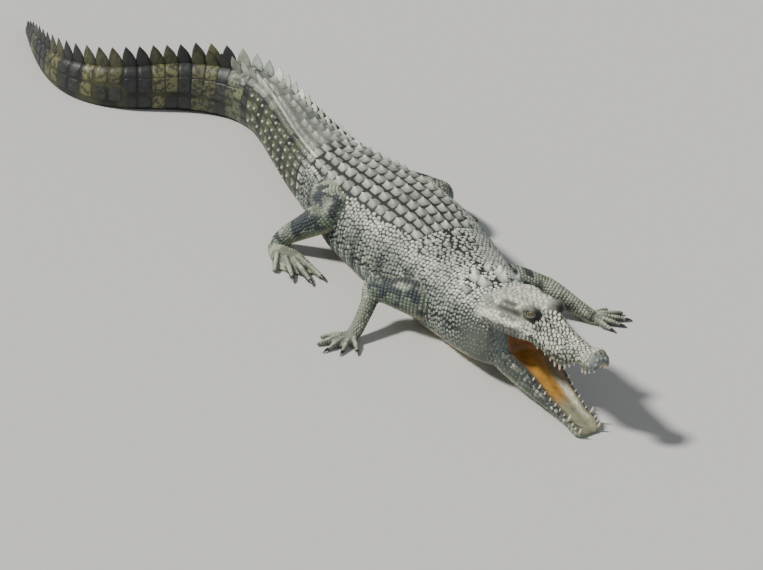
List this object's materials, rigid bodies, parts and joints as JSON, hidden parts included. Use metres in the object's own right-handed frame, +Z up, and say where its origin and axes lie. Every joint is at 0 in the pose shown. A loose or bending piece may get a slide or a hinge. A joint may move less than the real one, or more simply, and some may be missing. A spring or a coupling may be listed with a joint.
{
  "type": "crocodile",
  "caption": "Young crocodile lying on its belly with its jaws wide open, legs spread and tail swung to one side; a still, life-size model.",
  "frame": {"origin": "on the ground, at the middle of the model's outline seen from above", "axes": "+Z up from the ground; +Y towards the tail, so the head points along -Y; +X towards the animal's left side"},
  "size_m": [0.616, 1.8294, 0.203],
  "materials": {
    "hide": "satin",
    "jaws": "satin",
    "eye": "gloss",
    "claw": "satin"
  },
  "bodies": {
    "root": {"head": "jaws", "lower_jaw": "jaws", "eye_left": "eye", "eye_right": "eye", "neck": "hide", "trunk_front": "hide", "trunk_rear": "hide", "tail_1": "hide", "tail_2": "hide", "tail_3": "hide", "tail_4": "hide", "tail_5": "hide", "right_fore_upper": "hide", "right_fore_lower": "hide", "right_fore_foot": "hide", "right_fore_claw_1": "claw", "right_fore_claw_2": "claw", "right_fore_claw_3": "claw", "left_fore_upper": "hide", "left_fore_lower": "hide", "left_fore_foot": "hide", "left_fore_claw_1": "claw", "left_fore_claw_2": "claw", "left_fore_claw_3": "claw", "right_hind_upper": "hide", "right_hind_lower": "hide", "right_hind_foot": "hide", "right_hind_claw_1": "claw", "right_hind_claw_2": "claw", "right_hind_claw_3": "claw", "left_hind_upper": "hide", "left_hind_lower": "hide", "left_hind_foot": "hide", "left_hind_claw_1": "claw", "left_hind_claw_2": "claw", "left_hind_claw_3": "claw"}
  },
  "joints": []
}
